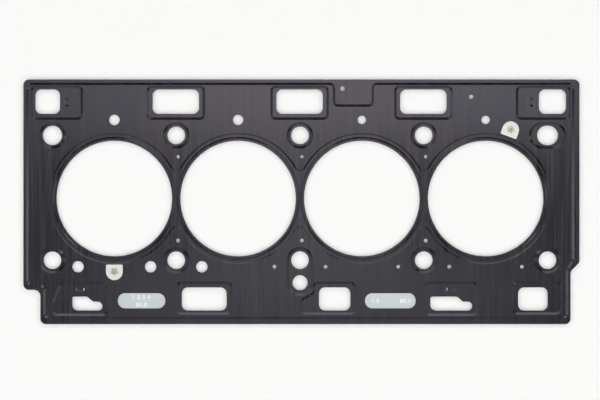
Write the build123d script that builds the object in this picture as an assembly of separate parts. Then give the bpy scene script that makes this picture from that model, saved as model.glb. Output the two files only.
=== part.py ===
from build123d import *
import math
import os

# Multi-layer steel cylinder head gasket for an inline four, in millimetres.
# +Z points at the cylinder head. The origin is the middle of the inner four head-bolt holes, on the
# underside. +X runs along the bores, towards the end with the oval dowel hole, and +Y points at the long
# side that has three equal coolant windows.
#
# From the block up it is made of a coated sheet with beads pressed downwards, a flat carrier, a thin
# stopper round the bores, which two eyelets hold to the carrier, and a coated sheet with beads pressed
# upwards. Straps and tongues lanced from the upper sheet lock the three large sheets together.

# --- Sheets and beads -------------------------------------------------------------------------------
FUNCTIONAL_SHEET = 0.25         # thickness of each coated sheet
CARRIER_SHEET = 0.50
STOPPER_SHEET = 0.10
BEAD_HEIGHT = 0.20              # free height of every bead, half bead and pad
BEAD_SLOPE = 1.2                # width of each slope of the bead round a bore
HALF_BEAD_SLOPE = 1.8           # width of the slope at the rim, the pads and the rings

# --- Bores, head bolts and dowels -------------------------------------------------------------------
BORE_DIAMETER = 85.0
BORE_BRIDGE = 6.0               # metal between two neighbouring bores
BORE_ROW_OFFSET = -0.5          # the bores lie a little below the middle of the bolt rows
BOLT_ROW_SPACING = 91.8
BOLT_HOLE_DIAMETER = 13.0
BOLT_RING_RADIUS = 8.9          # middle of the half bead round a bolt hole
DOWEL_HOLE_DIAMETER = 14.3      # corner hole that locates the gasket
DOWEL_SLOT_LENGTH = 15.5        # the opposite corner is oval, to leave play along the row
DOWEL_RING_STRETCH = 8.0        # its half bead is stretched along the row by this much
OIL_HOLE_DIAMETER = 11.1
OIL_HOLE_BELOW_BOLT = 16.5

# --- Outline, measured from the end bores and the bolt rows -----------------------------------------
LEFT_END = 66.8                 # from the first bore's centre to the left edge
RIGHT_END = 68.9
TOP_EDGE = 41.1                 # from the upper bolt row to the upper edge
BOTTOM_EDGE = 46.9
OUTLINE_CORNER = 4.0
NOTCH_WIDTH = 12.5              # corner cut away at the lower left
NOTCH_HEIGHT = 25.2
NOTCH_CORNER = 4.8
SETBACK = 6.6                   # the right edge steps in by this much, at 45 degrees
SETBACK_BELOW_ROW = 1.6

# --- Rim: from the outline to the middle of its half bead -------------------------------------------
RIM_TOP = 3.2
RIM_LEFT = 2.9
RIM_BOTTOM = 4.5
RIM_RIGHT = 4.6
RIM_SETBACK = 2.5
RIM_SETBACK_DROP = 6.7          # the rim's slanted part falls by this much
RIM_NOTCH_TOP = 3.8
RIM_NOTCH_SIDE = 3.0
RIM_CORNER = 3.6
TAB_LEFT = -20.5                # the rim widens to a tab, placed from the third bore's centre
TAB_RIGHT = 8.0
TAB_DEPTH = 19.2                # from the upper edge
TAB_CORNER = 3.2

# --- Bore bead and stopper --------------------------------------------------------------------------
BORE_LAND = 2.2                 # from the bore to the middle of the bead's inner slope
BEAD_WIDTH = 3.0                # between the middles of the bead's two slopes
BEAD_CUSP_RADIUS = 4.3          # where the beads of two bores run together
STOPPER_INSET = 0.4             # the stopper's inner edge stands back from the bore
STOPPER_LAND = 1.2              # the stopper reaches past the bead's foot

# --- Riveted lugs and their D windows, from the centre of the nearest bore ---------------------------
LUG_WINDOW_GAP = 0.3            # between the bead's foot and the flat side of the window
LUG_WINDOW_RADIUS = 6.2
LUG_WINDOW_STRAIGHT = 5.2
LUG_WINDOW_CORNER = 0.8
LUG_MARGIN = 1.5                # the lug reaches under the sheet all round the window
LEFT_LUG_ANGLE = -90.0
RIGHT_LUG_ANGLE = 70.0

# --- Eyelets ----------------------------------------------------------------------------------------
EYELET_BARREL_DIAMETER = 2.6
EYELET_WALL = 0.35
EYELET_FLANGE_DIAMETER = 4.6
EYELET_FLANGE_THICKNESS = 0.25
EYELET_CLEARANCE = 0.05         # round the barrel
STAR_POINTS = 5
STAR_DIAMETER = 6.4
STAR_ROOT_DIAMETER = 4.4
STAR_THICKNESS = 0.25
STAR_CORNER = 0.35

# --- Round coolant and vent holes -------------------------------------------------------------------
TOP_HOLE_ABOVE_ROW = 11.4       # one above each bore
TOP_HOLE_DIAMETERS = (7.8, 7.6, 6.2, 6.2)
BRIDGE_HOLE_SHIFT = 1.4         # beside the middle of each bridge, along the row
UPPER_BRIDGE_HOLE_OFFSET = 30.7     # from the row of bores
UPPER_BRIDGE_HOLE_DIAMETER = 2.5
LOWER_BRIDGE_HOLE_OFFSET = 30.9
LOWER_BRIDGE_HOLE_DIAMETER = 2.8
LOWER_HOLE_SPREAD = 26.7        # two below each bore, this far to each side
LOWER_HOLE_BELOW_ROW = 4.8
LARGE_LOWER_HOLE_DIAMETER = 8.4
SMALL_LOWER_HOLE_DIAMETER = 2.8
LARGE_LOWER_HOLES = 3           # the first ones from the left are large
TAB_HOLE_DIAMETER = 3.4
TAB_HOLE_INSET_X = 6.2          # from the tab's left side
TAB_HOLE_INSET_Y = 6.8          # from the upper edge
VENT_HOLE_DIAMETER = 3.1
VENT_HOLE_X = -10.6             # from the last bore's centre
VENT_HOLE_INSET = 12.7          # from the upper edge

# --- Upper row of coolant windows -------------------------------------------------------------------
WINDOW_CORNER = 4.5
TOP_WINDOW_INSET = 7.3          # from the upper edge
TOP_WINDOW_HEIGHT = 18.0
TOP_WINDOW_WIDTH = 34.2
TOP_WINDOW_SHIFT = -0.3         # from the bolt below each of the three equal windows
TOP_LEFT_WINDOW_INSET = 8.7     # from the left edge
TOP_LEFT_WINDOW_WIDTH = 18.2
TOP_RIGHT_WINDOW_INSET = 9.8    # from the right edge
TOP_RIGHT_WINDOW_WIDTH = 20.0
TOP_PAD_CORNER = 3.0
TOP_PAD_SIDE = 3.5              # margin of a pad round its window, to the middle of the slope
TOP_PAD_ABOVE = 1.9
TOP_PAD_BELOW = 3.5
TOP_CORNER_PAD_SIDE = 2.8       # towards the end of the gasket
TOP_CORNER_PAD_INNER = 16.0     # towards the middle, where the clinch is

# --- Lower row of coolant windows, placed from the bores' centres -----------------------------------
BOTTOM_WINDOW_INSET = 9.9       # from the lower edge
BOTTOM_WINDOW_HEIGHT = 17.1
SECOND_WINDOW_X = -24.9         # middle, from the second bore
SECOND_WINDOW_WIDTH = 33.0
THIRD_WINDOW_X = -20.0          # from the third bore
THIRD_WINDOW_WIDTH = 23.1
LAST_WINDOW_X = 34.7            # from the last bore
LAST_WINDOW_WIDTH = 21.8
BOTTOM_PAD_CORNER = 3.0
BOTTOM_PAD_SIDE = 3.3
BOTTOM_PAD_BELOW = 2.2
SLOT_PAD_BELOW = 3.1            # the pads round the stepped slots reach further down
BOTTOM_PAD_TOP = 16.5           # from the lower bolt row
LAST_PAD_RIGHT = 9.2

# --- Stepped slots in the lower row -----------------------------------------------------------------
SLOT_HIGH_HEIGHT = 10.3
SLOT_LOW_HEIGHT = 6.6
SLOT_LOW_LENGTH = 6.7
SLOT_STEP_RUN = 4.5             # length of the S-shaped step between the two heights
SLOT_STEP_RADIUS = 2.4
SLOT_SHARP_CORNER = 1.5
SLOT_ROUND_CORNER = 4.2
SLOT_END_CORNER = 3.2
FIRST_SLOT_X = -30.9            # left end, from the first bore
FIRST_SLOT_HIGH_LENGTH = 10.9
SECOND_SLOT_X = -40.7           # left end, from the last bore
SECOND_SLOT_HIGH_LENGTH = 19.6
FIRST_PAD_LEFT = 14.3
FIRST_PAD_TOP_LEFT = 8.1
FIRST_PAD_SHOULDER = 14.7       # height at which the slanted side starts, from the pad's top
FIRST_PAD_RIGHT = 3.6
SECOND_PAD_LEFT = 4.0
SECOND_PAD_RIGHT = 3.1

# --- Third pad of the lower row, which runs into the ring of the oil hole ---------------------------
THIRD_PAD_LEFT = 12.7
THIRD_PAD_SHOULDER_HEIGHT = 10.1    # from the pad's lower side
THIRD_PAD_SLANT_RISE = 5.2
THIRD_PAD_SLANT_RUN = 9.0

# --- Label windows: long holes in the upper sheet alone ---------------------------------------------
LABEL_WINDOW_HEIGHT = 11.2
LABEL_WINDOW_CORNER = 5.4
LABEL_WINDOW_INSET = 17.1       # from the lower edge to the middle
FIRST_LABEL_X = 20.0            # middle, from the first bore
FIRST_LABEL_LENGTH = 34.9
SECOND_LABEL_X = 20.9           # middle, from the third bore
SECOND_LABEL_LENGTH = 37.3

# --- Lanced clinches --------------------------------------------------------------------------------
CLINCH_WIDTH = 2.2              # width of a strap or tongue
CLINCH_CLEARANCE = 0.1          # on each side of it
CLINCH_SLOT_LENGTH = 7.4
CLINCH_BEND = 0.4               # flat length at each end of a strap before it bends down
CLINCH_DROP_RUN = 1.5           # length over which it runs down
TONGUE_TIP_GAP = 1.4            # open end of the slot past a tongue's tip
SLOT_SIDE_ROOM = 0.2            # more room in the carrier and the lower sheet
LEFT_STRAP_X = 5.0              # from the inner side of the upper left window
RIGHT_STRAP_X = 5.3             # from the inner side of the upper right window
STRAP_ABOVE_ROW = 24.4          # middle of both straps, from the upper bolt row
LEFT_TONGUE_X = -25.4           # middle of the slot, from the first bore
RIGHT_TONGUE_X = -25.5          # from the last bore
TONGUE_BELOW_ROW = 21.4         # from the lower bolt row

# --- Places worked out from the sizes above ---------------------------------------------------------
PITCH = BORE_DIAMETER + BORE_BRIDGE
BORE_RADIUS = BORE_DIAMETER / 2
BORE_X = [station * PITCH for station in (-1.5, -0.5, 0.5, 1.5)]
BRIDGE_X = [station * PITCH for station in (-1, 0, 1)]
BOLT_X = [-2 * PITCH, *BRIDGE_X, 2 * PITCH]
UPPER_ROW = BOLT_ROW_SPACING / 2
LOWER_ROW = -BOLT_ROW_SPACING / 2

LEFT = BORE_X[0] - LEFT_END
RIGHT = BORE_X[-1] + RIGHT_END
TOP = UPPER_ROW + TOP_EDGE
BOTTOM = LOWER_ROW - BOTTOM_EDGE
NOTCH_X = LEFT + NOTCH_WIDTH
NOTCH_Y = BOTTOM + NOTCH_HEIGHT
SETBACK_X = RIGHT - SETBACK
SETBACK_Y = LOWER_ROW - SETBACK_BELOW_ROW
TOP_HOLE_Y = UPPER_ROW + TOP_HOLE_ABOVE_ROW
LOWER_HOLE_Y = LOWER_ROW - LOWER_HOLE_BELOW_ROW

BEAD_INNER = BORE_RADIUS + BORE_LAND
BEAD_OUTER = BEAD_INNER + BEAD_WIDTH
BEAD_FOOT = BEAD_OUTER + BEAD_SLOPE / 2
LUG_WINDOW_FLAT = BEAD_FOOT + LUG_WINDOW_GAP
LUG_CENTRE = LUG_WINDOW_FLAT + LUG_WINDOW_STRAIGHT

LOWER_LAYER_Z = BEAD_HEIGHT + FUNCTIONAL_SHEET      # top of the lower sheet's field
CARRIER_Z = LOWER_LAYER_Z + CARRIER_SHEET           # top of the carrier
STOPPER_Z = CARRIER_Z + STOPPER_SHEET               # top of the stopper
TOTAL_HEIGHT = STOPPER_Z + FUNCTIONAL_SHEET + BEAD_HEIGHT


# --- Helpers ----------------------------------------------------------------------------------------
def outline_face(*corners):
    """Face whose corners are given as (x, y, radius), in order round it."""
    points = [(x, y) for x, y, _ in corners]
    radii = [radius for _, _, radius in corners]
    return make_face(FilletPolyline(*points, radius=radii, close=True))


def block_face(x_low, x_high, y_low, y_high, radius):
    """Rectangle between two x and two y places, with equal round corners."""
    centre = Pos((x_low + x_high) / 2, (y_low + y_high) / 2)
    return centre * RectangleRounded(x_high - x_low, y_high - y_low, radius)


def at_bore(index, angle):
    """Location at a bore's centre with its x axis turned to the angle."""
    return Pos(BORE_X[index], BORE_ROW_OFFSET) * Rot(0, 0, angle)


def plateau(outline, slope=HALF_BEAD_SLOPE):
    """Raised solid with a flat top; the outline is the middle of the slope round it."""
    foot = offset(outline, slope / 2)
    crest = offset(outline, -slope / 2)
    return loft([foot, Pos(0, 0, BEAD_HEIGHT) * crest], ruled=True)


def pocket(outline):
    """Hollow with a flat floor, as wide at the floor as a plateau is at its top."""
    floor = offset(outline, -HALF_BEAD_SLOPE / 2)
    mouth = offset(outline, HALF_BEAD_SLOPE / 2)
    return loft([floor, Pos(0, 0, BEAD_HEIGHT) * mouth], ruled=True)


def cone_between(lower_radius, upper_radius):
    """Round solid from z=0 to the bead's height, between two radii."""
    return Cone(lower_radius, upper_radius, BEAD_HEIGHT, align=(Align.CENTER, Align.CENTER, Align.MIN))


def through(face):
    """Cutter that passes through the whole gasket."""
    return Pos(0, 0, -TOTAL_HEIGHT) * extrude(face, 3 * TOTAL_HEIGHT)


# --- Outlines ---------------------------------------------------------------------------------------
def gasket_outline():
    """Outer edge of the three large sheets."""
    return outline_face(
        (LEFT, TOP, OUTLINE_CORNER),
        (RIGHT, TOP, OUTLINE_CORNER),
        (RIGHT, SETBACK_Y, OUTLINE_CORNER),
        (SETBACK_X, SETBACK_Y - SETBACK, OUTLINE_CORNER),
        (SETBACK_X, BOTTOM, OUTLINE_CORNER),
        (NOTCH_X, BOTTOM, OUTLINE_CORNER),
        (NOTCH_X, NOTCH_Y, NOTCH_CORNER),
        (LEFT, NOTCH_Y, OUTLINE_CORNER),
    )


def rim_line():
    """Middle of the half bead inside the rim."""
    top = TOP - RIM_TOP
    left = LEFT + RIM_LEFT
    right = RIGHT - RIM_RIGHT
    setback = SETBACK_X - RIM_SETBACK
    bottom = BOTTOM + RIM_BOTTOM
    notch_x = NOTCH_X + RIM_NOTCH_SIDE
    notch_y = NOTCH_Y + RIM_NOTCH_TOP
    tab_left = BORE_X[2] + TAB_LEFT
    tab_right = BORE_X[2] + TAB_RIGHT
    tab_bottom = TOP - TAB_DEPTH
    slant_top = SETBACK_Y + SETBACK_BELOW_ROW
    return outline_face(
        (left, top, RIM_CORNER),
        (tab_left, top, TAB_CORNER),
        (tab_left, tab_bottom, TAB_CORNER),
        (tab_right, tab_bottom, TAB_CORNER),
        (tab_right, top, TAB_CORNER),
        (right, top, RIM_CORNER),
        (right, slant_top, RIM_CORNER),
        (setback, slant_top - RIM_SETBACK_DROP, RIM_CORNER),
        (setback, bottom, RIM_CORNER),
        (notch_x, bottom, RIM_CORNER),
        (notch_x, notch_y, NOTCH_CORNER),
        (left, notch_y, RIM_CORNER),
    )


def bead_outline(radius, cusp_radius):
    """Chain of circles round the bores, with the cusps between them filled by arcs."""
    chain = Sketch() + [Pos(x, BORE_ROW_OFFSET) * Circle(radius) for x in BORE_X]
    half_pitch = PITCH / 2
    inner = math.sqrt(radius**2 - half_pitch**2)
    reach = math.sqrt((radius + cusp_radius) ** 2 - half_pitch**2)
    touch = reach * radius / (radius + cusp_radius)
    for x in BRIDGE_X:
        side = half_pitch * cusp_radius / (radius + cusp_radius)
        for sign in (1, -1):
            centre = (x, BORE_ROW_OFFSET + sign * reach)
            left = (x - side, BORE_ROW_OFFSET + sign * touch)
            right = (x + side, BORE_ROW_OFFSET + sign * touch)
            low = (x, BORE_ROW_OFFSET + sign * (reach - cusp_radius))
            base = (x, BORE_ROW_OFFSET)
            web = make_face(Polyline(base, left, right, close=True))
            cap = make_face([ThreePointArc(left, low, right), Line(right, left)])
            chain += web
            chain -= cap
    return chain


# --- Holes ------------------------------------------------------------------------------------------
def top_windows():
    """Windows above the upper bolt row, as (left, right) pairs, from left to right."""
    half = TOP_WINDOW_WIDTH / 2
    first = LEFT + TOP_LEFT_WINDOW_INSET
    last = RIGHT - TOP_RIGHT_WINDOW_INSET
    middle = [(x + TOP_WINDOW_SHIFT - half, x + TOP_WINDOW_SHIFT + half) for x in BRIDGE_X]
    return [(first, first + TOP_LEFT_WINDOW_WIDTH), *middle, (last - TOP_RIGHT_WINDOW_WIDTH, last)]


def bottom_windows():
    """Plain windows below the lower bolt row, as (left, right) pairs."""
    middles = (BORE_X[1] + SECOND_WINDOW_X, BORE_X[2] + THIRD_WINDOW_X, BORE_X[3] + LAST_WINDOW_X)
    widths = (SECOND_WINDOW_WIDTH, THIRD_WINDOW_WIDTH, LAST_WINDOW_WIDTH)
    return [(middle - width / 2, middle + width / 2) for middle, width in zip(middles, widths)]


def stepped_slot(left, high_length):
    """Slot with a high left part and a low right part, joined by an S-shaped step."""
    low = BOTTOM + BOTTOM_WINDOW_INSET
    step_start = left + high_length
    step_end = step_start + SLOT_STEP_RUN
    right = step_end + SLOT_LOW_LENGTH
    return outline_face(
        (left, low, SLOT_ROUND_CORNER),
        (right, low, SLOT_END_CORNER),
        (right, low + SLOT_LOW_HEIGHT, SLOT_END_CORNER),
        (step_end, low + SLOT_LOW_HEIGHT, SLOT_STEP_RADIUS),
        (step_start, low + SLOT_HIGH_HEIGHT, SLOT_STEP_RADIUS),
        (left, low + SLOT_HIGH_HEIGHT, SLOT_SHARP_CORNER),
    )


def windows():
    """All large coolant windows."""
    top_low = TOP - TOP_WINDOW_INSET - TOP_WINDOW_HEIGHT
    top_high = TOP - TOP_WINDOW_INSET
    bottom_low = BOTTOM + BOTTOM_WINDOW_INSET
    bottom_high = bottom_low + BOTTOM_WINDOW_HEIGHT
    faces = [block_face(a, b, top_low, top_high, WINDOW_CORNER) for a, b in top_windows()]
    faces += [block_face(a, b, bottom_low, bottom_high, WINDOW_CORNER) for a, b in bottom_windows()]
    faces.append(stepped_slot(BORE_X[0] + FIRST_SLOT_X, FIRST_SLOT_HIGH_LENGTH))
    faces.append(stepped_slot(BORE_X[3] + SECOND_SLOT_X, SECOND_SLOT_HIGH_LENGTH))
    return faces


def bolt_holes():
    """Head-bolt holes; the two upper corners are the dowel hole and the oval dowel slot."""
    plain = Circle(BOLT_HOLE_DIAMETER / 2)
    faces = [Pos(x, LOWER_ROW) * plain for x in BOLT_X]
    faces += [Pos(x, UPPER_ROW) * plain for x in BRIDGE_X]
    faces.append(Pos(BOLT_X[0], UPPER_ROW) * Circle(DOWEL_HOLE_DIAMETER / 2))
    faces.append(Pos(BOLT_X[-1], UPPER_ROW) * SlotOverall(DOWEL_SLOT_LENGTH, DOWEL_HOLE_DIAMETER))
    return faces


def round_holes():
    """Oil hole and the round coolant and vent holes."""
    faces = [Pos(0, LOWER_ROW - OIL_HOLE_BELOW_BOLT) * Circle(OIL_HOLE_DIAMETER / 2)]
    for x, diameter in zip(BORE_X, TOP_HOLE_DIAMETERS):
        faces.append(Pos(x, TOP_HOLE_Y) * Circle(diameter / 2))
    for x in BRIDGE_X:
        upper = Pos(x + BRIDGE_HOLE_SHIFT, BORE_ROW_OFFSET + UPPER_BRIDGE_HOLE_OFFSET)
        lower = Pos(x + BRIDGE_HOLE_SHIFT, BORE_ROW_OFFSET - LOWER_BRIDGE_HOLE_OFFSET)
        faces.append(upper * Circle(UPPER_BRIDGE_HOLE_DIAMETER / 2))
        faces.append(lower * Circle(LOWER_BRIDGE_HOLE_DIAMETER / 2))
    lower_x = [x + side * LOWER_HOLE_SPREAD for x in BORE_X for side in (-1, 1)]
    for place, x in enumerate(lower_x):
        large = place < LARGE_LOWER_HOLES
        diameter = LARGE_LOWER_HOLE_DIAMETER if large else SMALL_LOWER_HOLE_DIAMETER
        faces.append(Pos(x, LOWER_HOLE_Y) * Circle(diameter / 2))
    tab_hole = Pos(BORE_X[2] + TAB_LEFT + TAB_HOLE_INSET_X, TOP - TAB_HOLE_INSET_Y)
    faces.append(tab_hole * Circle(TAB_HOLE_DIAMETER / 2))
    faces.append(Pos(BORE_X[3] + VENT_HOLE_X, TOP - VENT_HOLE_INSET) * Circle(VENT_HOLE_DIAMETER / 2))
    return faces


def lug_window(margin=0.0):
    """D shape that points along +X from a bore's centre; a margin makes the lug under it."""
    radius = LUG_WINDOW_RADIUS + margin
    flat = LUG_WINDOW_FLAT - margin
    corner = LUG_WINDOW_CORNER + margin
    body = outline_face(
        (flat, -radius, corner),
        (LUG_CENTRE, -radius, 0),
        (LUG_CENTRE, radius, 0),
        (flat, radius, corner),
    )
    tip = split(Pos(LUG_CENTRE, 0) * Circle(radius), bisect_by=Plane.YZ.offset(LUG_CENTRE))
    return body + tip


def label_windows():
    """Long holes in the upper sheet that bare the carrier."""
    y = BOTTOM + LABEL_WINDOW_INSET
    first = Pos(BORE_X[0] + FIRST_LABEL_X, y)
    second = Pos(BORE_X[2] + SECOND_LABEL_X, y)
    return [
        first * RectangleRounded(FIRST_LABEL_LENGTH, LABEL_WINDOW_HEIGHT, LABEL_WINDOW_CORNER),
        second * RectangleRounded(SECOND_LABEL_LENGTH, LABEL_WINDOW_HEIGHT, LABEL_WINDOW_CORNER),
    ]


# --- Pads -------------------------------------------------------------------------------------------
def top_pads():
    """Pads round the upper windows."""
    low = TOP - TOP_WINDOW_INSET - TOP_WINDOW_HEIGHT - TOP_PAD_BELOW
    high = TOP - TOP_WINDOW_INSET + TOP_PAD_ABOVE
    spans = top_windows()
    edges = [(a - TOP_PAD_SIDE, b + TOP_PAD_SIDE) for a, b in spans[1:-1]]
    edges.append((spans[0][0] - TOP_CORNER_PAD_SIDE, spans[0][1] + TOP_CORNER_PAD_INNER))
    edges.append((spans[-1][0] - TOP_CORNER_PAD_INNER, spans[-1][1] + TOP_CORNER_PAD_SIDE))
    return [block_face(a, b, low, high, TOP_PAD_CORNER) for a, b in edges]


def bottom_pads():
    """Pads round the lower windows and slots."""
    low = BOTTOM + BOTTOM_WINDOW_INSET - BOTTOM_PAD_BELOW
    slot_low = BOTTOM + BOTTOM_WINDOW_INSET - SLOT_PAD_BELOW
    high = LOWER_ROW - BOTTOM_PAD_TOP
    corner = BOTTOM_PAD_CORNER
    second, third, last = bottom_windows()
    first_left = BORE_X[0] + FIRST_SLOT_X
    first_slot_length = FIRST_SLOT_HIGH_LENGTH + SLOT_STEP_RUN + SLOT_LOW_LENGTH
    first_right = first_left + first_slot_length + FIRST_PAD_RIGHT
    first = outline_face(
        (first_left - FIRST_PAD_TOP_LEFT, high, corner),
        (first_right, high, corner),
        (first_right, slot_low, corner),
        (first_left - FIRST_PAD_LEFT, slot_low, corner),
        (first_left - FIRST_PAD_LEFT, high - FIRST_PAD_SHOULDER, corner),
    )
    slot_left = BORE_X[3] + SECOND_SLOT_X
    slot_length = SECOND_SLOT_HIGH_LENGTH + SLOT_STEP_RUN + SLOT_LOW_LENGTH
    third_left = third[0] - THIRD_PAD_LEFT
    shoulder = low + THIRD_PAD_SHOULDER_HEIGHT
    third_top_left = third_left + THIRD_PAD_SLANT_RUN
    third_pad = outline_face(
        (third_top_left, high, corner),
        (third[1] + BOTTOM_PAD_SIDE, high, corner),
        (third[1] + BOTTOM_PAD_SIDE, low, corner),
        (third_left, low, corner),
        (third_left, shoulder, corner),
        (third_top_left, shoulder + THIRD_PAD_SLANT_RISE, corner),
    )
    slot_right = slot_left + slot_length + SECOND_PAD_RIGHT
    slot_pad = block_face(slot_left - SECOND_PAD_LEFT, slot_right, slot_low, high, corner)
    plain_sides = [
        (second[0] - BOTTOM_PAD_SIDE, second[1] + BOTTOM_PAD_SIDE),
        (last[0] - BOTTOM_PAD_SIDE, last[1] + LAST_PAD_RIGHT),
    ]
    window_pads = [block_face(a, b, low, high, corner) for a, b in plain_sides]
    return [first, third_pad, slot_pad, *window_pads]


def bolt_rings():
    """Outlines of the half beads that are not round: the oval dowel slot's and the oil hole's."""
    width = 2 * BOLT_RING_RADIUS
    dowel_slot = Pos(BOLT_X[-1], UPPER_ROW) * SlotOverall(width + DOWEL_RING_STRETCH, width)
    oil_middle = Pos(0, LOWER_ROW - OIL_HOLE_BELOW_BOLT / 2)
    oil_hole = oil_middle * SlotOverall(width + OIL_HOLE_BELOW_BOLT, width, rotation=90)
    return [dowel_slot, oil_hole]


# --- Lanced clinches --------------------------------------------------------------------------------
def clinch_places():
    """Locations of the straps and of the tongues, with +X along each of them."""
    spans = top_windows()
    strap_y = UPPER_ROW + STRAP_ABOVE_ROW
    tongue_y = LOWER_ROW - TONGUE_BELOW_ROW
    straps = [
        Pos(spans[0][1] + LEFT_STRAP_X, strap_y) * Rot(0, 0, 90),
        Pos(spans[-1][0] - RIGHT_STRAP_X, strap_y) * Rot(0, 0, 90),
    ]
    tongues = [
        Pos(BORE_X[0] + LEFT_TONGUE_X, tongue_y) * Rot(0, 0, 180),
        Pos(BORE_X[3] + RIGHT_TONGUE_X, tongue_y),
    ]
    return straps, tongues


def clinch_slot(extra=0.0):
    """Slot that a strap or tongue passes through."""
    width = CLINCH_WIDTH + 2 * CLINCH_CLEARANCE + extra
    return RectangleRounded(CLINCH_SLOT_LENGTH + extra, width, width / 2 - CLINCH_CLEARANCE)


def bent_strip(path):
    """Strip of the upper sheet whose top follows the (x, z) path, as wide as a clinch."""
    under = [(x, z - FUNCTIONAL_SHEET) for x, z in reversed(path)]
    side = make_face(Polyline(*path, *under, close=True))
    return Pos(0, -CLINCH_WIDTH / 2) * (Rot(90, 0, 0) * extrude(side, -CLINCH_WIDTH))


def clinch_strips():
    """Straps, joined to the sheet at both ends, and tongues, joined at one."""
    high = TOTAL_HEIGHT
    low = FUNCTIONAL_SHEET
    end = CLINCH_SLOT_LENGTH / 2
    root = end + CLINCH_BEND
    bend = end - CLINCH_BEND
    bottom = bend - CLINCH_DROP_RUN
    tip = end - TONGUE_TIP_GAP
    right_half = [(bottom, low), (bend, high), (root, high)]
    strap = bent_strip([(-root, high), (-bend, high), (-bottom, low), *right_half])
    tongue = bent_strip([(-tip, low), *right_half])
    straps, tongues = clinch_places()
    return [place * strap for place in straps] + [place * tongue for place in tongues]


# --- Sheets -----------------------------------------------------------------------------------------
def opened(face, cuts):
    """Face with every cut taken out of it."""
    for cut in cuts:
        face -= cut
    return face


def shared_openings():
    """Openings that pass through all three large sheets."""
    bores = [Pos(x, BORE_ROW_OFFSET) * Circle(BORE_RADIUS) for x in BORE_X]
    return bores + bolt_holes() + round_holes() + windows()


def lug_places():
    """Locations of the two riveted lugs."""
    return at_bore(0, LEFT_LUG_ANGLE), at_bore(3, RIGHT_LUG_ANGLE)


def relief():
    """Solid under the embossed surface: field at z=0, rim, pads, rings and bead at BEAD_HEIGHT."""
    margin = 2 * OUTLINE_CORNER
    blank = block_face(LEFT - margin, RIGHT + margin, BOTTOM - margin, TOP + margin, margin)
    depth = 2 * FUNCTIONAL_SHEET
    body = Pos(0, 0, -depth) * extrude(blank, depth + BEAD_HEIGHT)
    body -= pocket(rim_line())
    for outline in top_pads() + bottom_pads() + bolt_rings():
        body += plateau(outline)
    half = HALF_BEAD_SLOPE / 2
    ring = cone_between(BOLT_RING_RADIUS + half, BOLT_RING_RADIUS - half)
    body += [Pos(x, UPPER_ROW) * ring for x in BOLT_X[:-1]]
    body += [Pos(x, LOWER_ROW) * ring for x in BOLT_X if x != 0]
    body += plateau(bead_outline(BEAD_OUTER, BEAD_CUSP_RADIUS), BEAD_SLOPE)
    inner = cone_between(BEAD_INNER - BEAD_SLOPE / 2, BEAD_INNER + BEAD_SLOPE / 2)
    body -= [Pos(x, BORE_ROW_OFFSET) * inner for x in BORE_X]
    return body


def functional_sheet(face):
    """Embossed sheet of the face's shape: its field's underside is at z=0 and its beads point up."""
    under = relief()
    shell = Pos(0, 0, FUNCTIONAL_SHEET) * under - under
    return shell & through(face)


def build_parts():
    """All solids of the gasket, by name."""
    outline = gasket_outline()
    shared = shared_openings()
    straps, tongues = clinch_places()
    upper_slots = [place * clinch_slot() for place in straps + tongues]
    lower_slots = [place * clinch_slot(SLOT_SIDE_ROOM) for place in straps + tongues]
    lug_holes = [place * lug_window() for place in lug_places()]

    upper_face = opened(outline, shared + lug_holes + label_windows() + upper_slots)
    lower_face = opened(outline, shared + lug_holes + lower_slots)
    barrel_room = Circle(EYELET_BARREL_DIAMETER / 2 + EYELET_CLEARANCE)
    barrel_holes = [place * Pos(LUG_CENTRE, 0) * barrel_room for place in lug_places()]
    carrier_face = opened(outline, shared + lower_slots + barrel_holes)

    upper = Pos(0, 0, STOPPER_Z) * functional_sheet(upper_face)
    for strip in clinch_strips():
        upper += strip
    lower = Pos(0, 0, LOWER_LAYER_Z) * mirror(functional_sheet(lower_face), Plane.XY)
    carrier = Pos(0, 0, LOWER_LAYER_Z) * extrude(carrier_face, CARRIER_SHEET)

    ring_radius = BEAD_FOOT + STOPPER_LAND
    stopper_face = bead_outline(ring_radius, BEAD_CUSP_RADIUS + BEAD_OUTER - ring_radius)
    for place in lug_places():
        stopper_face += place * lug_window(LUG_MARGIN)
    stopper_bores = [Pos(x, BORE_ROW_OFFSET) * Circle(BORE_RADIUS + STOPPER_INSET) for x in BORE_X]
    stopper_face = opened(stopper_face, stopper_bores + barrel_holes)
    stopper = Pos(0, 0, CARRIER_Z) * extrude(stopper_face, STOPPER_SHEET)

    left_place, right_place = lug_places()
    return {
        "lower_functional_layer": lower,
        "carrier_layer": carrier,
        "stopper_layer": stopper,
        "left_eyelet": left_place * Pos(LUG_CENTRE, 0) * star_eyelet(),
        "right_eyelet": right_place * Pos(LUG_CENTRE, 0) * star_eyelet(),
        "upper_functional_layer": upper,
    }


# --- Eyelets ----------------------------------------------------------------------------------------
def star_eyelet():
    """Eyelet through the carrier and a lug: round flange below, petals flared into a star above."""
    barrel = EYELET_BARREL_DIAMETER / 2
    flange = Pos(0, 0, LOWER_LAYER_Z - EYELET_FLANGE_THICKNESS)
    body = flange * extrude(Circle(EYELET_FLANGE_DIAMETER / 2), EYELET_FLANGE_THICKNESS)
    body += Pos(0, 0, LOWER_LAYER_Z) * extrude(Circle(barrel), STOPPER_Z - LOWER_LAYER_Z)
    corners = []
    for step in range(2 * STAR_POINTS):
        radius = (STAR_DIAMETER if step % 2 == 0 else STAR_ROOT_DIAMETER) / 2
        angle = math.pi * step / STAR_POINTS
        corners.append((radius * math.cos(angle), radius * math.sin(angle), STAR_CORNER))
    body += Pos(0, 0, STOPPER_Z) * extrude(outline_face(*corners), STAR_THICKNESS)
    body -= through(Circle(barrel - EYELET_WALL))
    return body


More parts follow.
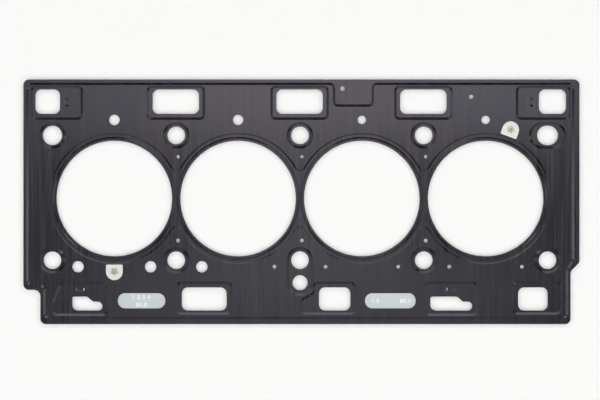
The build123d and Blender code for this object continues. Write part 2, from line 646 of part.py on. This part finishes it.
# --- Files ------------------------------------------------------------------------------------------
os.makedirs("parts", exist_ok=True)
for name, solid in build_parts().items():
    export_step(solid, f"parts/{name}.step")
    print(name, round(solid.volume, 1), "mm3")
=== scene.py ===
"""Looks of a multi-layer steel cylinder head gasket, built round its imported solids.

The gasket lies flat, as it comes to rest, with the side that meets the cylinder head up. Its solids
keep their shape and place, and get the finish of each layer: two embossed sheets with a baked rubber
coating, a plated carrier, a spring-steel stopper and two plated eyelets. The printed sizes in the two
label windows, the table, the light panels and the camera are made here.
"""

import logging
from dataclasses import dataclass, field, replace
from enum import Enum
from typing import Any, Sequence

import bpy
import numpy as np
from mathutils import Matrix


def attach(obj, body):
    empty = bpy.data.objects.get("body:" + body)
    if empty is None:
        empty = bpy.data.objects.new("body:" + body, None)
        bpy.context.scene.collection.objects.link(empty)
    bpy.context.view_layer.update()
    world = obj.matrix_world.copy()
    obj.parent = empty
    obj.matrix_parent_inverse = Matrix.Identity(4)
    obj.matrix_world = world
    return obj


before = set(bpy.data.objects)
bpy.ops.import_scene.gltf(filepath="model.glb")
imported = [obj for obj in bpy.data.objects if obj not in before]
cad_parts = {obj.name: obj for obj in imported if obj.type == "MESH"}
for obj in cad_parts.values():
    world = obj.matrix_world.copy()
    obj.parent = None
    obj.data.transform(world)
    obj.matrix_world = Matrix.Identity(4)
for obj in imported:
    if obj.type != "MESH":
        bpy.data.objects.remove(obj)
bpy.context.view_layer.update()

log = logging.getLogger("gasket")

MM = 0.001
NOISE_LOW = 0.3  # nearly all values of a noise texture lie between these two
NOISE_HIGH = 0.7

Colour = tuple[float, float, float, float]


class Grain(Enum):
    """Direction in which a strip was rolled or coated."""

    ALONG_X = 0
    ALONG_Y = 1


class Layer(Enum):
    """Level at which something lies, as the height of its upper face in metres."""

    CARRIER_TOP = 0.95 * MM
    STOPPER_TOP = 1.05 * MM


# --- Colours, nodes and meshes ----------------------------------------------------------------------
def linear(hex_colour: str) -> Colour:
    """Turn an sRGB hex colour into linear light.

    Args:
        hex_colour: colour such as "#30302e".

    Returns:
        Linear red, green and blue, and an alpha of 1.
    """
    values = [int(hex_colour[place : place + 2], 16) / 255 for place in (1, 3, 5)]
    red, green, blue = (
        value / 12.92 if value <= 0.04045 else ((value + 0.055) / 1.055) ** 2.4
        for value in values
    )
    return (red, green, blue, 1.0)


def add_node(
    tree: bpy.types.NodeTree, kind: str, inputs: dict[Any, Any] | None = None, **settings: Any
) -> bpy.types.Node:
    """Add one node with its settings, its input values and its links.

    Args:
        tree: tree that gets the node.
        kind: the node's type without its leading "ShaderNode".
        inputs: for each input, by name or place, a value or the socket that feeds it.
        **settings: the node's own options.

    Returns:
        The new node.
    """
    node = tree.nodes.new(f"ShaderNode{kind}")
    for name, value in settings.items():
        setattr(node, name, value)
    for key, value in (inputs or {}).items():
        if isinstance(value, bpy.types.NodeSocket):
            tree.links.new(value, node.inputs[key])
        else:
            node.inputs[key].default_value = value
    return node


def new_material(name: str) -> tuple[bpy.types.Material, bpy.types.NodeTree]:
    """Make a material with an empty node tree.

    Args:
        name: the material's name.

    Returns:
        The material and its tree.
    """
    material = bpy.data.materials.new(name)
    material.use_nodes = True
    material.node_tree.nodes.clear()
    return material, material.node_tree


def dress(piece: bpy.types.Object, material: bpy.types.Material) -> None:
    """Give a piece one material in place of all that it has."""
    piece.data.materials.clear()
    piece.data.materials.append(material)


def dress_nodes(names: Sequence[str], material: bpy.types.Material) -> list[bpy.types.Object]:
    """Give one material to each named solid of the gasket.

    Args:
        names: the solids' names.
        material: what they get.

    Returns:
        The dressed pieces.
    """
    pieces = [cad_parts[name] for name in names]
    for piece in pieces:
        dress(piece, material)
    return pieces


def drawn_lines(
    tree: bpy.types.NodeTree,
    place: bpy.types.NodeSocket,
    width: float,
    length: float,
    detail: float = 3.0,
    grain: Grain = Grain.ALONG_Y,
) -> bpy.types.NodeSocket:
    """Add a cloudy pattern that is drawn out into lines the way a strip was rolled.

    Args:
        tree: tree that gets the nodes.
        place: object coordinates.
        width: size of the pattern across the lines, in metres.
        length: size of the pattern along them.
        detail: how many finer layers the pattern has.
        grain: way in which the lines run.

    Returns:
        The pattern, whose values lie round 0.5.
    """
    across, along = 1 / width, 1 / length
    scale = (along, across, 1.0) if grain is Grain.ALONG_X else (across, along, 1.0)
    stretched = add_node(tree, "Mapping", {"Vector": place, "Scale": scale})
    lines = add_node(
        tree, "TexNoise", {"Vector": stretched.outputs[0], "Scale": 1.0, "Detail": detail}
    )
    return lines.outputs["Fac"]


def link_mesh(name: str, mesh: bpy.types.Mesh) -> bpy.types.Object:
    """Put a mesh into the scene as an object at the origin.

    Args:
        name: the object's name.
        mesh: its mesh, in place.

    Returns:
        The object.
    """
    piece = bpy.data.objects.new(name, mesh)
    bpy.context.scene.collection.objects.link(piece)
    return piece


def grid_mesh(name: str, x: np.ndarray, y: np.ndarray, z: np.ndarray) -> bpy.types.Mesh:
    """Make a surface over a grid of points.

    Point (i, j) joins its neighbours i + 1 and j + 1, so that a grid of m by n points gives
    (m - 1) times (n - 1) four-sided faces.

    Args:
        name: the mesh's name.
        x: x of each point, as an m by n array in metres.
        y: y of each point.
        z: z of each point.

    Returns:
        The mesh.
    """
    rows, columns = x.shape
    place = np.arange(rows * columns).reshape(rows, columns)
    corners = (place[:-1, :-1], place[1:, :-1], place[1:, 1:], place[:-1, 1:])
    faces = np.stack(corners, axis=-1).reshape(-1, 4)
    mesh = bpy.data.meshes.new(name)
    mesh.from_pydata(np.stack((x, y, z), axis=-1).reshape(-1, 3).tolist(), [], faces.tolist())
    mesh.update()
    return mesh


# --- Finishes ---------------------------------------------------------------------------------------
@dataclass(frozen=True)
class RubberCoating:
    """Black nitrile rubber, rolled onto spring steel and baked: a few hundredths of a millimetre.

    It has a satin skin with faint lines the way the roller ran, and in wider streaks its shine turns
    a little warmer. The blank was cut after coating, so every cut edge shows bare steel.
    """

    name: str = "baked_rubber_coating"
    cool: str = "#121318"
    warm: str = "#181415"
    steel: str = "#4a4b4e"
    cut_slant: float = 0.5  # a face whose normal has a lesser share of z is a cut edge
    cool_shine: str = "#e3e4f7"
    warm_shine: str = "#faeff4"
    streak_width: float = 3 * MM  # bands in which the roller laid the rubber a little thicker
    streak_length: float = 90 * MM
    streak_values: tuple[float, float] = (0.45, 0.68)  # of the pattern, where cool and warm begin
    roughness: float = 0.16
    roughness_swing: float = 0.03
    ior: float = 1.7
    pressed_tilt: float = 0.31  # sine of the angle in the middle of a pressed, S-shaped slope
    pressed_gain: float = 2.9  # how much steeper that is than the solid's straight slope, at most
    cloud_size: float = 70 * MM
    line_width: float = 1.4 * MM  # the real lines are a third of this, too fine to show
    line_length: float = 60 * MM
    line_depth: float = 0.009 * MM
    line_values: tuple[float, float] = (0.36, 0.64)  # of the pattern, in dark and in light lines
    line_contrast: float = 0.9  # how far a line's colour departs from the mean
    grit: float = 0.25 * MM
    grit_depth: float = 0.003 * MM

    def build(self) -> bpy.types.Material:
        """Make the material.

        Returns:
            The material.
        """
        material, tree = new_material(self.name)
        texture = add_node(tree, "TexCoord")
        place = texture.outputs["Object"]
        lines = drawn_lines(tree, place, self.line_width, self.line_length, detail=4.0)
        normal = add_node(tree, "SeparateXYZ", {0: texture.outputs["Normal"]})
        slant = add_node(tree, "Math", {0: normal.outputs[2]}, operation="ABSOLUTE")
        cut = add_node(
            tree, "Math", {0: slant.outputs[0], 1: self.cut_slant}, operation="LESS_THAN"
        )
        colour = add_node(
            tree,
            "Mix",
            {0: cut.outputs[0], 6: self.tone(tree, place, lines), 7: linear(self.steel)},
            data_type="RGBA",
        )
        rough = add_node(
            tree,
            "MapRange",
            {
                0: lines,
                1: NOISE_LOW,
                2: NOISE_HIGH,
                3: self.roughness - self.roughness_swing,
                4: self.roughness + self.roughness_swing,
            },
        )
        shader = add_node(
            tree,
            "BsdfPrincipled",
            {
                "Base Color": colour.outputs[2],
                "Metallic": cut.outputs[0],
                "Roughness": rough.outputs[0],
                "IOR": self.ior,
                "Specular Tint": self.shine(tree, place),
                "Normal": self.skin(tree, place, lines, self.pressed_normal(tree, normal)),
            },
        )
        add_node(tree, "OutputMaterial", {"Surface": shader.outputs[0]})
        return material

    def tone(
        self, tree: bpy.types.NodeTree, place: bpy.types.NodeSocket, lines: bpy.types.NodeSocket
    ) -> bpy.types.NodeSocket:
        """Colour of the rubber: cool and warm clouds, darker and lighter in its lines.

        Args:
            tree: tree that gets the nodes.
            place: object coordinates.
            lines: pattern of the roller's lines.

        Returns:
            The colour.
        """
        clouds = add_node(
            tree, "TexNoise", {"Vector": place, "Scale": 1 / self.cloud_size, "Detail": 3.0}
        )
        tint = add_node(
            tree,
            "Mix",
            {0: clouds.outputs["Fac"], 6: linear(self.cool), 7: linear(self.warm)},
            data_type="RGBA",
        )
        dark, light = self.line_values
        shade = add_node(
            tree,
            "MapRange",
            {0: lines, 1: dark, 2: light, 3: 1 - self.line_contrast, 4: 1 + self.line_contrast},
        )
        lined = add_node(
            tree,
            "Mix",
            {0: 1.0, 6: tint.outputs[2], 7: shade.outputs[0]},
            data_type="RGBA",
            blend_type="MULTIPLY",
        )
        return lined.outputs[2]

    def shine(
        self, tree: bpy.types.NodeTree, place: bpy.types.NodeSocket
    ) -> bpy.types.NodeSocket:
        """Tint of what the skin mirrors: cool, with warm streaks.

        Args:
            tree: tree that gets the nodes.
            place: object coordinates.

        Returns:
            The tint.
        """
        streaks = drawn_lines(tree, place, self.streak_width, self.streak_length)
        cool, warm = self.streak_values
        warmth = add_node(tree, "MapRange", {0: streaks, 1: cool, 2: warm, 3: 0.0, 4: 1.0})
        tint = add_node(
            tree,
            "Mix",
            {0: warmth.outputs[0], 6: linear(self.cool_shine), 7: linear(self.warm_shine)},
            data_type="RGBA",
        )
        return tint.outputs[2]

    def skin(
        self,
        tree: bpy.types.NodeTree,
        place: bpy.types.NodeSocket,
        lines: bpy.types.NodeSocket,
        normal: bpy.types.NodeSocket,
    ) -> bpy.types.NodeSocket:
        """Relief of the skin: the roller's lines, and a fine grit on them.

        Args:
            tree: tree that gets the nodes.
            place: object coordinates.
            lines: pattern of the roller's lines.
            normal: normal of the sheet under the skin.

        Returns:
            The normal of the skin.
        """
        combed = add_node(
            tree,
            "Bump",
            {"Strength": 1.0, "Distance": self.line_depth, "Height": lines, "Normal": normal},
        )
        grains = add_node(
            tree, "TexNoise", {"Vector": place, "Scale": 1 / self.grit, "Detail": 2.0}
        )
        gritty = add_node(
            tree,
            "Bump",
            {
                "Strength": 1.0,
                "Distance": self.grit_depth,
                "Height": grains.outputs["Fac"],
                "Normal": combed.outputs[0],
            },
        )
        return gritty.outputs[0]

    def pressed_normal(
        self, tree: bpy.types.NodeTree, normal: bpy.types.Node
    ) -> bpy.types.NodeSocket:
        """Steepen the shading of the slopes between two levels.

        A pressed slope is S-shaped, so its middle is steeper than the straight slope of the solid.
        The level part of the normal, s = length of (x, y), is made g times longer, where
        g = pressed_tilt / s, kept between 1 and pressed_gain. Flat faces and cut edges stay as they
        are, because there s is 0 or g is 1.

        Args:
            tree: tree that gets the nodes.
            normal: node that gives the face's normal as x, y and z.

        Returns:
            The steeper normal.
        """
        x, y, z = normal.outputs
        level = add_node(tree, "CombineXYZ", {0: x, 1: y, 2: 0.0})
        length = add_node(tree, "VectorMath", {0: level.outputs[0]}, operation="LENGTH")
        wanted = add_node(
            tree, "Math", {0: self.pressed_tilt, 1: length.outputs["Value"]}, operation="DIVIDE"
        )
        gain = add_node(
            tree, "Clamp", {"Value": wanted.outputs[0], "Min": 1.0, "Max": self.pressed_gain}
        )
        longer_x = add_node(tree, "Math", {0: x, 1: gain.outputs[0]}, operation="MULTIPLY")
        longer_y = add_node(tree, "Math", {0: y, 1: gain.outputs[0]}, operation="MULTIPLY")
        joined = add_node(
            tree, "CombineXYZ", {0: longer_x.outputs[0], 1: longer_y.outputs[0], 2: z}
        )
        unit = add_node(tree, "VectorMath", {0: joined.outputs[0]}, operation="NORMALIZE")
        return unit.outputs[0]


@dataclass(frozen=True)
class RolledSteel:
    """Cold-rolled steel strip with a thin plating: long fine lines and a soft, even shine."""

    name: str
    colour: str
    shade: str
    roughness: float
    grain: Grain = Grain.ALONG_X
    line_width: float = 0.5 * MM  # a few times that of real rolling lines, which wouldn't show
    line_length: float = 30 * MM
    line_depth: float = 0.02 * MM
    line_strength: float = 0.08
    roughness_swing: float = 0.05

    def build(self) -> bpy.types.Material:
        """Make the material.

        Returns:
            The material.
        """
        material, tree = new_material(self.name)
        place = add_node(tree, "TexCoord").outputs["Object"]
        lines = drawn_lines(tree, place, self.line_width, self.line_length, grain=self.grain)
        colour = add_node(
            tree,
            "Mix",
            {0: lines, 6: linear(self.colour), 7: linear(self.shade)},
            data_type="RGBA",
        )
        rough = add_node(
            tree,
            "MapRange",
            {
                0: lines,
                1: NOISE_LOW,
                2: NOISE_HIGH,
                3: self.roughness - self.roughness_swing,
                4: self.roughness + self.roughness_swing,
            },
        )
        bump = add_node(
            tree,
            "Bump",
            {"Strength": self.line_strength, "Distance": self.line_depth, "Height": lines},
        )
        shader = add_node(
            tree,
            "BsdfPrincipled",
            {
                "Base Color": colour.outputs[2],
                "Metallic": 1.0,
                "Roughness": rough.outputs[0],
                "Normal": bump.outputs[0],
            },
        )
        add_node(tree, "OutputMaterial", {"Surface": shader.outputs[0]})
        return material


@dataclass(frozen=True)
class MarkingInk:
    """White marking ink, printed in one thin coat, so it is matt and a little uneven."""

    name: str = "white_marking_ink"
    colour: str = "#ffffff"
    thin: str = "#f0f3f2"
    roughness: float = 0.6
    fleck: float = 0.4 * MM

    def build(self) -> bpy.types.Material:
        """Make the material.

        Returns:
            The material.
        """
        material, tree = new_material(self.name)
        place = add_node(tree, "TexCoord")
        flecks = add_node(
            tree,
            "TexNoise",
            {"Vector": place.outputs["Object"], "Scale": 1 / self.fleck, "Detail": 2.0},
        )
        colour = add_node(
            tree,
            "Mix",
            {0: flecks.outputs["Fac"], 6: linear(self.colour), 7: linear(self.thin)},
            data_type="RGBA",
        )
        shader = add_node(
            tree,
            "BsdfPrincipled",
            {"Base Color": colour.outputs[2], "Roughness": self.roughness},
        )
        add_node(tree, "OutputMaterial", {"Surface": shader.outputs[0]})
        return material


# --- Sub-assemblies ---------------------------------------------------------------------------------
@dataclass
class CoatedSheets:
    """The two embossed sheets, whose beads seal against the head and the block."""

    coating: RubberCoating = field(default_factory=RubberCoating)
    nodes: tuple[str, ...] = ("upper_functional_layer", "lower_functional_layer")

    def build(self) -> list[bpy.types.Object]:
        """Coat both sheets, and return them."""
        return dress_nodes(self.nodes, self.coating.build())


@dataclass
class Core:
    """Carrier between the coated sheets, and the stopper that thickens it round the bores."""

    carrier: RolledSteel = RolledSteel(
        "tinned_carrier_steel", colour="#dde5e4", shade="#cfd7d6", roughness=0.45
    )
    stopper: RolledSteel = RolledSteel(
        "bright_spring_steel", colour="#f8f6f1", shade="#eeebe3", roughness=0.4
    )

    def build(self) -> list[bpy.types.Object]:
        """Give both flat sheets their metal, and return them."""
        carrier = dress_nodes(("carrier_layer",), self.carrier.build())
        return carrier + dress_nodes(("stopper_layer",), self.stopper.build())


@dataclass
class Eyelets:
    """Two eyelets, flared into stars, that hold the stopper's lugs to the carrier."""

    plating: RolledSteel = RolledSteel(
        "nickel_plated_eyelet",
        colour="#d6d3cb",
        shade="#b5b2aa",
        roughness=0.3,
        grain=Grain.ALONG_Y,
        line_width=0.4 * MM,
        line_length=3 * MM,
    )
    nodes: tuple[str, ...] = ("left_eyelet", "right_eyelet")

    def build(self) -> list[bpy.types.Object]:
        """Plate both eyelets, and return them."""
        return dress_nodes(self.nodes, self.plating.build())


@dataclass(frozen=True)
class Marking:
    """One plain number, centred at a place in a label window, in metres."""

    text: str
    x: float
    y: float
    height: float = 3.2 * MM


@dataclass
class Labels:
    """Plain sizes printed on the carrier where the upper sheet's label windows bare it."""

    ink: MarkingInk = field(default_factory=MarkingInk)
    markings: tuple[Marking, ...] = (
        Marking("1 2 3 4", x=-116.5 * MM, y=-73.0 * MM),
        Marking("85.0", x=-116.5 * MM, y=-78.5 * MM),
        Marking("1.5", x=55.6 * MM, y=-75.7 * MM),
        Marking("85.0", x=77.6 * MM, y=-75.7 * MM),
    )
    lift: float = 0.02 * MM  # of the ink above the carrier
    spacing: float = 1.15  # between figures, in place of 1
    boldness: float = 0.03  # how far a stroke's edge moves out, as a share of the letter size
    curve_steps: int = 3

    def digits(self, marking: Marking) -> tuple[np.ndarray, list[list[int]]]:
        """Turn a marking's text into flat faces at its place.

        The text is laid out flat, its box is centred on the marking's place, and it is scaled so
        that a figure is as high as the marking says.

        Args:
            marking: the number and its place.

        Returns:
            The corners as an n by 3 array, and each face's corner numbers.
        """
        curve = bpy.data.curves.new("figures", "FONT")
        curve.body = marking.text
        curve.space_character = self.spacing
        curve.offset = self.boldness
        curve.resolution_u = self.curve_steps
        writer = bpy.data.objects.new("figures", curve)
        bpy.context.scene.collection.objects.link(writer)
        mesh = bpy.data.meshes.new_from_object(writer)
        points = np.empty(3 * len(mesh.vertices))
        mesh.vertices.foreach_get("co", points)
        points = points.reshape(-1, 3)
        faces = [list(face.vertices) for face in mesh.polygons]
        bpy.data.objects.remove(writer)
        bpy.data.curves.remove(curve)
        bpy.data.meshes.remove(mesh)
        low, high = points.min(axis=0), points.max(axis=0)
        scale = marking.height / (high[1] - low[1])
        placed = (points - (low + high) / 2) * scale
        placed += (marking.x, marking.y, Layer.CARRIER_TOP.value + self.lift)
        return placed, faces

    def build(self) -> list[bpy.types.Object]:
        """Print all the markings as one piece.

        Returns:
            The printed figures.
        """
        vertices: list[list[float]] = []
        faces: list[list[int]] = []
        for marking in self.markings:
            points, polygons = self.digits(marking)
            faces += [[index + len(vertices) for index in face] for face in polygons]
            vertices += points.tolist()
        mesh = bpy.data.meshes.new("printed_sizes")
        mesh.from_pydata(vertices, [], faces)
        mesh.update()
        piece = link_mesh("printed_sizes", mesh)
        dress(piece, self.ink.build())
        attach(piece, "root")
        return [piece]


# --- Studio -----------------------------------------------------------------------------------------
@dataclass(frozen=True)
class Panel:
    """One soft light panel in the ceiling: its limits in metres, how bright it is, and its tint."""

    x_low: float
    x_high: float
    y_low: float
    y_high: float
    strength: float
    edge: float = 0.04  # length over which it fades
    tint: tuple[float, float, float] = (1.0, 1.0, 1.0)

    def on_both_sides(self) -> tuple["Panel", "Panel"]:
        """Its mirror image in the plane x = 0, and the panel itself."""
        return replace(self, x_low=-self.x_high, x_high=-self.x_low), self

    def glow(self, x: np.ndarray, y: np.ndarray) -> np.ndarray:
        """Light over the ceiling: full inside the limits, falling smoothly at the edges.

        Along each axis it is (tanh((x - low) / edge) - tanh((x - high) / edge)) / 2, and the light
        is the product of both times the strength.

        Args:
            x: x of each point of the ceiling.
            y: y of each point.

        Returns:
            Linear red, green and blue at each point, as one more axis.
        """
        across = np.tanh((x - self.x_low) / self.edge) - np.tanh((x - self.x_high) / self.edge)
        along = np.tanh((y - self.y_low) / self.edge) - np.tanh((y - self.y_high) / self.edge)
        return (self.strength * across * along / 4)[..., None] * np.array(self.tint)


@dataclass
class Studio:
    """White table, a ceiling of soft light panels, and a camera straight above, in metres."""

    ceiling_height: float = 3.0
    ceiling_reach: float = 12.0  # from its middle to each wall
    ceiling_points: int = 321  # along each side of its grid
    crowding: float = 3.5  # how much closer the grid's points lie in the middle
    squareness: float = 40.0  # how sharply the ceiling bends down into the walls
    rest_glow: float = 0.02  # of the ceiling between its panels
    ambient: float = 0.35  # light of the room outside
    table_reach: float = 6.0
    table_points: int = 9
    table_drop: float = 0.02 * MM  # of the table below the gasket's underside
    table_white: str = "#f7f7f6"
    camera_height: float = 1.0
    camera_centre: tuple[float, float] = (0.0, -1.6 * MM)
    camera_clip: tuple[float, float] = (0.01, 50.0)
    pixels_per_mm: float = 1.36
    image_width: int = 600
    sensor: float = 36.0  # width in millimetres, as the lens is
    panels: tuple[Panel, ...] = (
        # over the level faces: dim at both ends, brighter in the middle and along the top
        Panel(-0.90, 0.90, -0.42, 0.20, 0.26, 0.08),
        Panel(-0.62, 0.62, -0.42, 0.14, 0.34, 0.14),
        Panel(-0.24, 0.24, -0.20, 0.14, 0.62, 0.08),
        Panel(-0.70, 0.70, -0.44, -0.20, 0.45, 0.06),
        Panel(-0.88, 0.88, 0.21, 0.46, 1.85, 0.05),
        Panel(-0.38, 0.42, 0.23, 0.44, 0.85, 0.06, (1.3, 1.0, 0.95)),
        Panel(0.44, 0.80, 0.22, 0.44, 0.60, 0.04, (1.1, 1.0, 0.98)),
        # a bright line in the slopes of both ends of the rim
        *Panel(1.03, 1.12, -0.44, 0.20, 6.5, 0.02).on_both_sides(),
        # grey light for the slopes that face sideways
        *Panel(1.32, 3.60, -1.12, 1.00, 0.45, 0.05).on_both_sides(),
        *Panel(1.45, 3.00, -0.60, -0.20, 0.40, 0.05).on_both_sides(),
        *Panel(2.58, 3.05, 0.14, 0.55, 1.30, 0.05).on_both_sides(),
        # light for the labels and the core, in between what the faces and the slopes show
        Panel(-0.85, 0.85, 0.80, 1.30, 3.00, 0.04),
        Panel(-0.70, 0.70, -1.16, -0.80, 3.20, 0.03),
        # past the top, for the slopes that face up
        Panel(-2.40, 2.40, 1.55, 2.15, 0.45, 0.05),
        Panel(-2.40, 2.40, 2.15, 3.10, 0.78, 0.05),
        # past the bottom, beyond a dark gap that the upper slopes facing down show
        Panel(-1.08, 1.08, -3.20, -2.24, 1.90, 0.04),
        *Panel(1.08, 3.60, -3.20, -1.47, 1.35, 0.04).on_both_sides(),
        *Panel(1.40, 3.60, -1.47, -1.12, 0.80, 0.04).on_both_sides(),
        # the rest of the room, as far as its dark walls
        Panel(-3.60, 3.60, -10.5, -3.25, 1.78, 0.10),
        Panel(-3.60, 3.60, 3.25, 10.5, 1.78, 0.10),
        *Panel(3.75, 10.5, -10.5, 10.5, 1.78, 0.10).on_both_sides(),
    )

    def table(self) -> None:
        """Lay the white table, a flat square, just under the gasket."""
        side = np.linspace(-self.table_reach, self.table_reach, self.table_points)
        x, y = np.meshgrid(side, side, indexing="ij")
        table = link_mesh("table", grid_mesh("table", x, y, np.full_like(x, -self.table_drop)))
        material, tree = new_material("white_table")
        paint = add_node(tree, "BsdfDiffuse", {"Color": linear(self.table_white)})
        add_node(tree, "OutputMaterial", {"Surface": paint.outputs[0]})
        dress(table, material)

    def ceiling(self) -> None:
        """Hang the ceiling; its glow is the sum of all panels, kept on the points of its grid.

        The grid is finest in the middle: with t from -c to c, a point is at
        reach * sinh(t) / sinh(c). It comes down to the floor as a dark wall all round:
        z = height * (1 - (r / reach) ** squareness), where r is the larger of |x| and |y|.
        """
        spread = np.linspace(-self.crowding, self.crowding, self.ceiling_points)
        side = self.ceiling_reach * np.sinh(spread) / np.sinh(self.crowding)
        x, y = np.meshgrid(side, side, indexing="ij")
        fall = (np.maximum(np.abs(x), np.abs(y)) / self.ceiling_reach) ** self.squareness
        mesh = grid_mesh("ceiling", x, y, self.ceiling_height * (1 - fall))
        glow = self.rest_glow + sum(panel.glow(x, y) for panel in self.panels)
        light = np.concatenate((glow, np.ones_like(glow[..., :1])), axis=-1)
        kept_light = mesh.attributes.new("glow", "FLOAT_COLOR", "POINT")
        kept_light.data.foreach_set("color", light.ravel())
        ceiling = link_mesh("ceiling", mesh)
        material, tree = new_material("light_panels")
        kept = add_node(tree, "Attribute", attribute_name="glow")
        lamp = add_node(tree, "Emission", {"Color": kept.outputs["Color"], "Strength": 1.0})
        add_node(tree, "OutputMaterial", {"Surface": lamp.outputs[0]})
        dress(ceiling, material)
        ceiling.visible_camera = False

    def surroundings(self) -> None:
        """Light the rest of the room evenly, and show it white, also where the ceiling hangs.

        The camera looks through the ceiling and its walls, which it doesn't see.
        """
        world = bpy.data.worlds.new("room")
        world.use_nodes = True
        tree = world.node_tree
        tree.nodes.clear()
        path = add_node(tree, "LightPath")
        either = add_node(
            tree,
            "Math",
            {0: path.outputs["Is Camera Ray"], 1: path.outputs["Is Glossy Ray"]},
            operation="MAXIMUM",
        )
        seen = add_node(
            tree,
            "Math",
            {0: either.outputs[0], 1: path.outputs["Is Transmission Ray"]},
            operation="MAXIMUM",
        )
        strength = add_node(
            tree, "MapRange", {0: seen.outputs[0], 1: 0.0, 2: 1.0, 3: self.ambient, 4: 1.0}
        )
        air = add_node(tree, "Background", {"Color": (1, 1, 1, 1), "Strength": strength.outputs[0]})
        add_node(tree, "OutputWorld", {"Surface": air.outputs[0]})
        bpy.context.scene.world = world

    def camera(self) -> None:
        """Hang the camera straight above, so that a millimetre on the gasket has its pixels.

        The lens is sensor * distance / width seen, with the distance to the top of the stopper.
        """
        data = bpy.data.cameras.new("camera")
        data.sensor_width = self.sensor
        seen = self.image_width / self.pixels_per_mm * MM
        data.lens = self.sensor * (self.camera_height - Layer.STOPPER_TOP.value) / seen
        data.clip_start, data.clip_end = self.camera_clip
        camera = bpy.data.objects.new("camera", data)
        camera.location = (*self.camera_centre, self.camera_height)
        bpy.context.scene.collection.objects.link(camera)
        bpy.context.scene.camera = camera

    def build(self) -> None:
        """Set the whole stage."""
        self.table()
        self.ceiling()
        self.surroundings()
        self.camera()
        bpy.context.scene.view_settings.view_transform = "Standard"


def corners(bounds: Sequence[Any]) -> list[list[float]]:
    """Write a box's two corners as plain lists."""
    return [[float(value) for value in corner] for corner in bounds]


def main() -> None:
    """Build each sub-assembly in order and report its pieces."""
    logging.basicConfig(level=logging.INFO, format="%(message)s")
    for assembly in (Core(), Eyelets(), CoatedSheets(), Labels()):
        for piece in assembly.build():
            faces = len(piece.data.polygons)
            log.info("%s: %s, %d faces", type(assembly).__name__, piece.name, faces)
    Studio().build()


if __name__ == "__main__":
    main()
